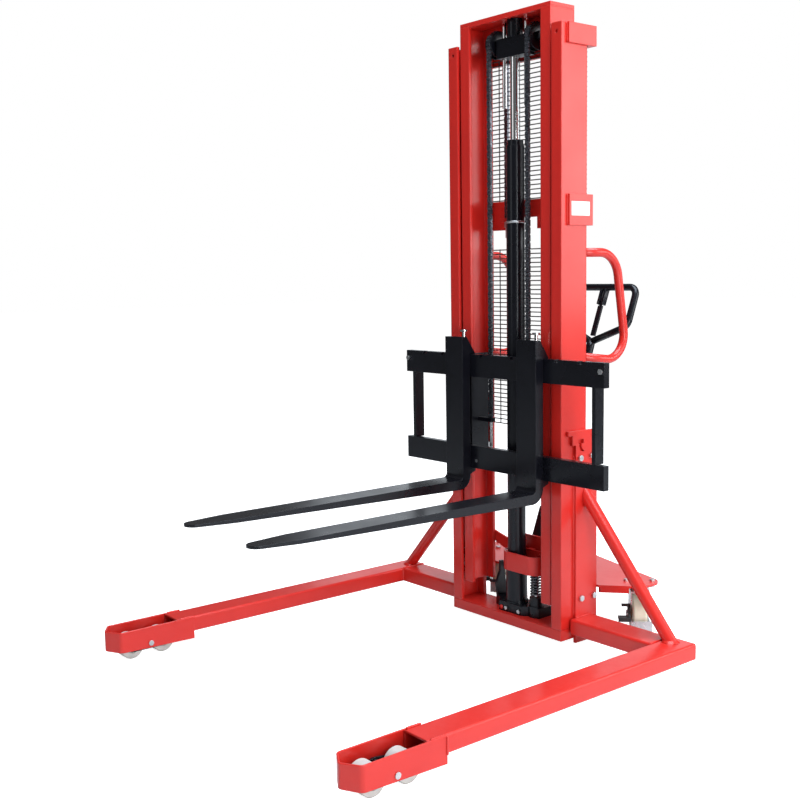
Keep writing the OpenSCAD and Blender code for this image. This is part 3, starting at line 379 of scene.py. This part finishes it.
# %% Leg noses
NOSE_T, NOSE_HALF, NOSE_MID = 0.006, 0.0545, 0.6625
NOSE_REAR, NOSE_KINK, NOSE_CORNER, NOSE_TIP, NOSE_LIFT = -0.909, -1.079, -1.1793, -1.2115, 0.009
NOSE_BENDS = (0.016, 0.010, 0.016)
nose_low, nose_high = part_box("leg_nose_right")


def bent_bar(line, radii, thickness, z_low, z_high, tip_lift, lift_from, round_r=0.0015):
    """A bar on edge: its section, a box with cut corners, carried along a bent level line.
    The underside rises in a straight slope ahead of lift_from, to tip_lift at the tip."""
    path = rounded_path([(x, y, 0.0) for x, y in line], radii, 13)
    ahead = np.gradient(path, axis=0)
    ahead /= np.linalg.norm(ahead, axis=1, keepdims=True)
    left = np.stack([-ahead[:, 1], ahead[:, 0], 0 * ahead[:, 0]], axis=-1)
    slope = np.clip((lift_from - path[:, 1]) / (lift_from - path[:, 1].min()), 0, 1) * tip_lift
    t, r = thickness / 2, round_r
    section = [(-t, r, 0), (-t + r, 0, 0), (t - r, 0, 0), (t, r, 0),
               (t, -r, 1), (t - r, 0, 1), (-t + r, 0, 1), (-t, -r, 1)]
    points = np.stack([path + left * side + np.array([0, 0, 1.0])
                       * ((z_high + rise if top else z_low + rise) + (0 if top else 1) * slope)[:, None]
                       for side, rise, top in section], axis=1)
    faces = grid_faces(len(path), len(section)).tolist()
    faces += [list(range(8))[::-1], list(range((len(path) - 1) * 8, len(path) * 8))]
    return points.reshape(-1, 3), faces


nose_in, nose_out = NOSE_MID - NOSE_HALF + NOSE_T / 2, NOSE_MID + NOSE_HALF - NOSE_T / 2
nose_corners = ((nose_out, NOSE_REAR), (nose_out, NOSE_CORNER), (NOSE_MID, NOSE_TIP),
                (nose_in, NOSE_CORNER), (nose_in, NOSE_REAR))
nose_line = [(x, mast_front + y) for x, y in nose_corners]
nose_points, nose_faces = bent_bar(nose_line, NOSE_BENDS, NOSE_T, nose_low.z, nose_high.z,
                                   NOSE_LIFT, mast_front + NOSE_KINK)
nose_bars = both_sides("leg_nose_bar", nose_points, nose_faces, "red_paint", "chassis", smooth=False)
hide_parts("leg_nose_right")
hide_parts("leg_nose_left")
print("nose bar from", round(nose_low.y, 3), "to", round(nose_high.y, 3))

# %% [markdown]
# The tiller is a welded steel stem with a closed loop of bent tube on top. It is drawn upright from
# its pivot, with the loop's corners as arcs, and then leaned back about the pivot.

# %% Tiller
TILLER_PIVOT = at_mast(0, 165, 280)
TILLER_LEAN = math.radians(21.7)
TILLER_L, LOOP_H, LOOP_W, LOOP_RISE, LOOP_BAR = 1.006, 0.216, 0.300, 0.066, 0.026


def lean_back(points):
    """Turns upright points (x, depth, height above the pivot) back about the pivot's axis."""
    points = np.asarray(points, float)
    y = points[..., 1] * math.cos(TILLER_LEAN) + points[..., 2] * math.sin(TILLER_LEAN)
    z = -points[..., 1] * math.sin(TILLER_LEAN) + points[..., 2] * math.cos(TILLER_LEAN)
    return np.stack([points[..., 0], y, z], axis=-1) + TILLER_PIVOT


def soft_box(size, centre, bevel=0.004):
    """A block with rounded edges: a superellipse outline whose size also eases at both ends."""
    sides, power = 40, 0.28
    angle = np.linspace(0, 2 * math.pi, sides, endpoint=False)
    outline = np.stack([np.sign(np.cos(angle)) * abs(np.cos(angle)) ** power,
                        np.sign(np.sin(angle)) * abs(np.sin(angle)) ** power], axis=-1)
    half = np.asarray(size, float) / 2
    ease = np.array([0, 0.45, 0.8, 1, 1, 1, 0.8, 0.45, 0])
    level = np.array([-1, -1, -1, -1, 0, 1, 1, 1, 1], float)
    drop = np.array([0, 0.1, 0.4, 1, 0, 1, 0.4, 0.1, 0])
    x = outline[None, :, 0] * (half[0] - bevel * (1 - ease))[:, None]
    y = outline[None, :, 1] * (half[1] - bevel * (1 - ease))[:, None]
    z = np.broadcast_to((level * (half[2] - bevel * drop * (level != 0)))[:, None], x.shape)
    points = np.stack([x, y, z], axis=-1) + np.asarray(centre, float)
    faces = grid_faces(len(level), sides).tolist()
    faces.append(list(range(sides))[::-1])
    faces.append(list(range((len(level) - 1) * sides, len(level) * sides)))
    return points.reshape(-1, 3), faces


loop_z = TILLER_L - LOOP_H
half_w = LOOP_W / 2
loop_corners = [(0, 0, loop_z), (half_w, 0, loop_z + LOOP_RISE), (half_w, 0, TILLER_L),
                (-half_w, 0, TILLER_L), (-half_w, 0, loop_z + LOOP_RISE), (0, 0, loop_z)]
loop = tube(rounded_path(loop_corners, 0.034), LOOP_BAR / 2, 20, side_axis=(0, 1, 0))
stem = tube([(0, 0, 0.02), (0, 0, 0.12), (0, 0, loop_z - 0.02), (0, 0, loop_z + 0.010)],
            [0.016, 0.016, 0.016, 0.0145], 24)
yoke = soft_box((0.052, 0.034, 0.132), (0, 0, 0.085))
head = merge([soft_box((0.010, 0.022, 0.070), (s * 0.010, 0, TILLER_L - 0.035), 0.002) for s in (-1, 1)])
tiller_points, tiller_faces = merge([loop, stem, yoke, head])
tiller = piece("tiller_bar", lean_back(tiller_points), tiller_faces, "black_paint", "tiller",
               stands_for=("tiller",))
hub_path = [TILLER_PIVOT + (x, 0, 0) for x in (-0.044, -0.040, 0.102, 0.106)]
hub = tube(hub_path, [0.009, 0.010, 0.010, 0.009], 24, side_axis=(0, 1, 0))
boss = tube([TILLER_PIVOT + (x, 0, 0) for x in (-0.026, -0.024, 0.024, 0.026)],
            [0.020, 0.022, 0.022, 0.020], 28, side_axis=(0, 1, 0))
arm = soft_box((0.016, 0.034, 0.012), TILLER_PIVOT + (0.098, -0.011, 0), 0.002)
shaft_points, shaft_faces = merge([hub, boss, arm])
piece("tiller_shaft", shaft_points, shaft_faces, "black_paint", "tiller", stands_for=("tiller",))
print("tiller bar points", len(tiller_points))

# %% [markdown]
# Fork truck masts use leaf chain: waisted steel plates, a pitch long, side by side on common pins, with
# every other leaf a pitch further on. One plate is an outline with two round ends and a waist. It is
# copied half a pitch before or after the middle of each pair of pitches, and every joint gets a pin.

# %% Chains
CHAIN_PITCH = 0.0127
PLATE_T = 0.0024
LEAVES = 6
PIN_R = 0.0024


def link_outline(pitch, height, steps=16):
    """A stadium round two pins, a pitch apart, whose long sides are drawn in a little at the middle."""
    angle = np.linspace(0, 2 * math.pi, steps, endpoint=False)
    along = np.sign(np.round(np.cos(angle), 6)) * pitch / 2 + np.cos(angle) * height / 2
    waist = 1 - 0.13 * np.exp(-(2.2 * along / pitch) ** 2)
    return along, np.sin(angle) * height / 2 * waist


def prisms(layers, count_sides):
    """Faces of many flat prisms at once; layers is prisms by two ends by sides by three."""
    base = (np.arange(len(layers)) * 2 * count_sides)[:, None]
    k = np.arange(count_sides)
    n = (k + 1) % count_sides
    far = base + count_sides
    walls = np.stack([base + k, base + n, far + n, far + k], -1).reshape(-1, 4).tolist()
    return layers.reshape(-1, 3), walls + (base + k[::-1]).tolist() + (far + k).tolist()


def chain_parts(centres, forward, outward, width, height, pitch):
    """Plates of all leaves and two pins for every pair of pitches; one row of the arrays is one pair."""
    along, side = link_outline(pitch, height)
    parts = []
    for leaf, spot in enumerate(np.linspace(-width / 2 + PLATE_T, width / 2 - PLATE_T, LEAVES)):
        middle = centres + forward * (pitch / 2 if leaf % 2 else -pitch / 2)
        flat = (middle[:, None] + outward[:, None] * side[None, :, None]
                + forward[:, None] * along[None, :, None])
        layers = np.stack([flat + (spot + t, 0, 0) for t in (-PLATE_T / 2, PLATE_T / 2)], axis=1)
        parts.append(prisms(layers, len(along)))
    angle = np.linspace(0, 2 * math.pi, 8, endpoint=False)
    ring = outward[:, None] * np.sin(angle)[None, :, None] + forward[:, None] * np.cos(angle)[None, :, None]
    for shift in (-1.0, 0.0):
        pins = centres[:, None] + forward[:, None] * (pitch * shift) + ring * PIN_R
        parts.append(prisms(np.stack([pins + (x, 0, 0) for x in (-width / 2, width / 2)], axis=1), 8))
    return merge(parts)


def straight_chain(x, y, z0, z1, width, height):
    """A run of chain up the mast, with as many whole pairs of pitches as fit, stretched a hair to fill it."""
    n = max(int(round((z1 - z0) / (2 * CHAIN_PITCH))), 1)
    pitch = (z1 - z0) / (2 * n)
    z = z0 + (2 * np.arange(n) + 1) * pitch
    centres = np.stack([np.full(n, x), np.full(n, y), z], axis=-1)
    return chain_parts(centres, np.tile([0.0, 0.0, 1.0], (n, 1)), np.tile([0.0, -1.0, 0.0], (n, 1)),
                       width, height, pitch)


def chain_piece(name, made, body=None, stands_for=()):
    return piece(name, made[0], made[1], "chain_steel", body, smooth=False, stands_for=stands_for)


wrap_box, front_box, rear_box = (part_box(n) for n in ("chain_wraps", "front_chain_runs", "rear_chain_runs"))
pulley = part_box("chain_pulley_right")
pulley_y, pulley_z = (pulley[0].y + pulley[1].y) / 2, (pulley[0].z + pulley[1].z) / 2
CHAIN_W, CHAIN_H, SLIM = 0.0195, 0.0122, 0.96
FRONT_TAIL, REAR_HEAD = 0.066, 0.177
y_front, y_rear = (front_box[0].y + front_box[1].y) / 2, (rear_box[0].y + rear_box[1].y) / 2
z_low, z_top, z_anchor = front_box[0].z, front_box[1].z, rear_box[0].z
for side, sign in (("left", -1), ("right", 1)):
    x = sign * (pulley[0].x + pulley[1].x) / 2
    run = chain_piece("front_chain_" + side,
                      straight_chain(x, y_front, z_low, z_top, CHAIN_W * SLIM, CHAIN_H * SLIM),
                      stands_for=("front_chain_runs",))
    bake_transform(run)
    tail = chain_piece("front_chain_tail_" + side,
                       straight_chain(x, y_front, z_low, z_low + FRONT_TAIL, CHAIN_W, CHAIN_H))
    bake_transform(tail)
    z_join = z_top - REAR_HEAD
    run = chain_piece("rear_chain_" + side,
                      straight_chain(x, y_rear, z_anchor, z_join, CHAIN_W * SLIM, CHAIN_H * SLIM),
                      stands_for=("rear_chain_runs",))
    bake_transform(run)
    chain_piece("rear_chain_head_" + side, straight_chain(x, y_rear, z_join, z_top, CHAIN_W, CHAIN_H),
                "crosshead")
    wrap_r = pulley_y - y_front
    pairs = int(round(math.pi * wrap_r / (2 * CHAIN_PITCH)))
    angle = (np.arange(pairs) + 0.5) * math.pi / pairs
    outward = np.stack([0 * angle, np.cos(angle), np.sin(angle)], axis=-1)
    forward = np.stack([0 * angle, -np.sin(angle), np.cos(angle)], axis=-1)
    wrap = chain_parts(np.array([x, pulley_y, pulley_z]) + outward * wrap_r, forward, -outward,
                       CHAIN_W, CHAIN_H, math.pi * wrap_r / (2 * pairs))
    chain_piece("chain_wrap_" + side, wrap, "crosshead", stands_for=("chain_wraps",))
print("chain pulley centre", round(pulley_y, 4), round(pulley_z, 4), "pairs on the wrap", pairs)

# %% [markdown]
# The pump's return spring is round wire on a helix of even pitch. On the real pump it flattens as the plunger
# goes down; here it is one fixed coil riding on the chassis.

# %% Return spring
spring_low, spring_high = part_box("pump_spring")
WIRE_R = 0.00285
SPRING_TURNS = 9.5
spring_x, spring_y = (spring_low.x + spring_high.x) / 2, (spring_low.y + spring_high.y) / 2
spring_t = np.linspace(0, 1, int(SPRING_TURNS * 28))
spring_r = (spring_high.x - spring_low.x) / 2 - WIRE_R
spring_path = np.stack([spring_x + spring_r * np.cos(spring_t * SPRING_TURNS * 2 * math.pi),
                        spring_y + spring_r * np.sin(spring_t * SPRING_TURNS * 2 * math.pi),
                        spring_low.z + WIRE_R + spring_t * (spring_high.z - spring_low.z - 2 * WIRE_R)], -1)
spring_points, spring_faces = tube(spring_path, WIRE_R, 12, side_axis=(0, 0, 1))
spring = piece("return_spring", spring_points, spring_faces, "chain_steel", "chassis",
               stands_for=("pump_spring",))
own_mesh(spring)
print("spring rings", len(spring_path))

# %% [markdown]
# Where two red pieces meet there is a weld bead under the paint, with the ripple of the torch: its
# radius swells and falls along the path.


# %% Weld beads
BEAD_R, BEAD_RIPPLE, BEAD_STEP = 0.0038, 0.0075, 0.004


def bead(name, start, end):
    """A straight rippled tube: its radius is a base times one plus a short wave and a slow one."""
    start, end = np.asarray(start, float), np.asarray(end, float)
    total = np.linalg.norm(end - start)
    s = np.linspace(0, total, max(int(total / BEAD_STEP) * 2, 12))
    path = start + (end - start) * (s / total)[:, None]
    swell = BEAD_R * (1 + 0.10 * np.sin(s * 2 * math.pi / BEAD_RIPPLE) + 0.06 * np.sin(s * 97.0))
    swell[[0, -1]] *= 0.4
    side_axis = np.eye(3)[int(np.argmin(abs(end - start)))] + (0.01, 0.02, 0.03)
    points, faces = tube(path, swell, 8, side_axis=side_axis)
    return piece(name, points, faces, "red_paint", "chassis")


BEADS = {
    "beam_leg": [(614, 36, 104), (614, 143, 104)],
    "beam_leg_front": [(614, 36, 52), (614, 36, 103)],
    "beam_plate": [(280, 62, 104), (280, 143, 104)],
    "nose_leg_top": [(614, -960, 104.2), (614, -910, 104.2)],
    "nose_leg_outer": [(711, -960, 104.2), (711, -910, 104.2)],
    "nose_back": [(717, -909.5, 52), (717, -909.5, 103)],
    "top_cap": [(270, 25, 2006), (270, 25, 2066)],
    "mid_cap": [(270, 29, 1428), (270, 29, 1525)],
    "side_plate_edge": [(270, 62, 112), (270, 62, 660)],
}
for side, sign in (("left", -1), ("right", 1)):
    for place, ends in BEADS.items():
        bead("weld_%s_%s" % (place, side), *[at_mast(sign * x, y, z) for x, y, z in ends])
print("weld beads made")

# %% [markdown]
# Small turned pieces are profiles spun about an axis: the plated ring where the barrel is joined and the
# coloured plug of the oil filler.


# %% Turned pieces
def turned(profile, centre, axis, sides=48, closed=False):
    """Spins (radius, height) pairs about the z or y axis through centre; a closed profile makes a ring."""
    profile = np.asarray(profile, float)
    angle = np.linspace(0, 2 * math.pi, sides, endpoint=False)
    r, h = profile[:, 0][:, None], np.broadcast_to(profile[:, 1][:, None], (len(profile), sides))
    u, v = r * np.cos(angle), r * np.sin(angle)
    points = np.stack([u, v, h] if axis == "z" else [v, h, u], axis=-1)
    faces = grid_faces(len(profile), sides, close_rows=closed).tolist()
    return points.reshape(-1, 3) + np.asarray(centre, float), faces


ring = turned([(0.0318, -0.004), (0.0343, -0.0035), (0.0348, -0.002), (0.0348, 0.002), (0.0343, 0.0035),
               (0.0318, 0.004)], at_mast(0, 62, 1448), "z", closed=True)
piece("barrel_ring", ring[0], ring[1], "zinc", "chassis")
plug_points, plug_faces = turned([(0.0075, 0.0), (0.0075, -0.003), (0.0065, -0.004), (0.002, -0.0045)],
                                 at_mast(-36, 20.5, 80), "y")
plug_faces.append(list(range(len(plug_points) - 48, len(plug_points))))
piece("filler_plug", plug_points, [face[::-1] for face in plug_faces], "red_paint", "chassis")

# %% [markdown]
# The caps of the mid crossmember carry a pale sticker. It is left blank: a thin plate with a soft edge.

# %% Blank stickers
for side, sign in (("left", -1), ("right", 1)):
    sticker = soft_box((0.0008, 0.088, 0.046), at_mast(sign * 280.3, 82, 1480), 0.0002)
    piece("blank_sticker_" + side, sticker[0], sticker[1], "label", "chassis")
print("stickers made")

# %% [markdown]
# Studio: a pale floor and wide lights on the near side, which make the side faces bright and leave the
# front faces deep red, a weaker fill in front, a soft light behind and one above.


# %% Floor, lights and world
def area_light(name, place, target, size, power, colour=(1.0, 1.0, 1.0)):
    data = bpy.data.lights.new(name, "AREA")
    data.shape = "RECTANGLE"
    data.size, data.size_y = size
    data.energy = power
    data.color = colour
    light = bpy.data.objects.new(name, data)
    back = np.asarray(place, float) - np.asarray(target, float)
    back /= np.linalg.norm(back)
    side_way = np.cross((0.0, 0.0, 1.0), back)
    side_way /= np.linalg.norm(side_way)
    rise = np.cross(back, side_way)
    light.matrix_world = (Matrix.Translation(place)
                          @ Matrix([[side_way[i], rise[i], back[i]] for i in range(3)]).to_4x4())
    scene.collection.objects.link(light)
    return light


def make_floor():
    data = bpy.data.meshes.new("studio_floor")
    reach = 40.0
    corners = [(-reach, -reach, 0), (reach, -reach, 0), (reach, reach, 0), (-reach, reach, 0)]
    data.from_pydata(corners, [], [(0, 1, 2, 3)])
    floor = bpy.data.objects.new("studio_floor", data)
    scene.collection.objects.link(floor)
    material = bpy.data.materials.new("pale_floor")
    material.use_nodes = True
    shader = material.node_tree.nodes["Principled BSDF"]
    shader.inputs["Base Color"].default_value = (0.75, 0.75, 0.75, 1)
    shader.inputs["Roughness"].default_value = 0.7
    shader.inputs["Emission Color"].default_value = (1, 1, 1, 1)
    seen = material.node_tree.nodes.new("ShaderNodeLightPath").outputs["Is Camera Ray"]
    material.node_tree.links.new(ramp(material.node_tree, seen, 0.0, 1.0, 0.0, 0.96),
                                 shader.inputs["Emission Strength"])
    data.materials.append(material)
    return floor


def make_world():
    """White where the camera looks past the object, and a softer grey as a source of light."""
    world = bpy.data.worlds.new("studio_world")
    scene.world = world
    world.use_nodes = True
    tree = world.node_tree
    seen = tree.nodes.new("ShaderNodeLightPath").outputs["Is Camera Ray"]
    strength = ramp(tree, seen, 0.0, 1.0, 0.12, 1.0)
    tree.nodes["Background"].inputs["Color"].default_value = (1, 1, 1, 1)
    tree.links.new(strength, tree.nodes["Background"].inputs["Strength"])


make_floor()
make_world()
area_light("key_upper_side", (3.5, 3.0, 2.1), (0.2, 0.4, 1.5), (3.0, 2.2), 95)
area_light("low_side", (4.3, -0.9, 1.3), (0.5, 0.0, 0.4), (1.6, 2.0), 92)
area_light("top_soft", (0.8, 0.3, 4.5), (0.1, 0.0, 0.5), (3.4, 3.4), 330, (0.84, 0.92, 1.0))
area_light("back_soft", (-3.4, 5.2, 1.9), (0.0, 0.0, 0.6), (6.0, 2.6), 45, (0.86, 0.93, 1.0))
area_light("fill_front", (-1.0, -4.8, 2.2), (0.0, 0.3, 1.0), (1.4, 2.4), 16)
scene.view_settings.view_transform = "Standard"
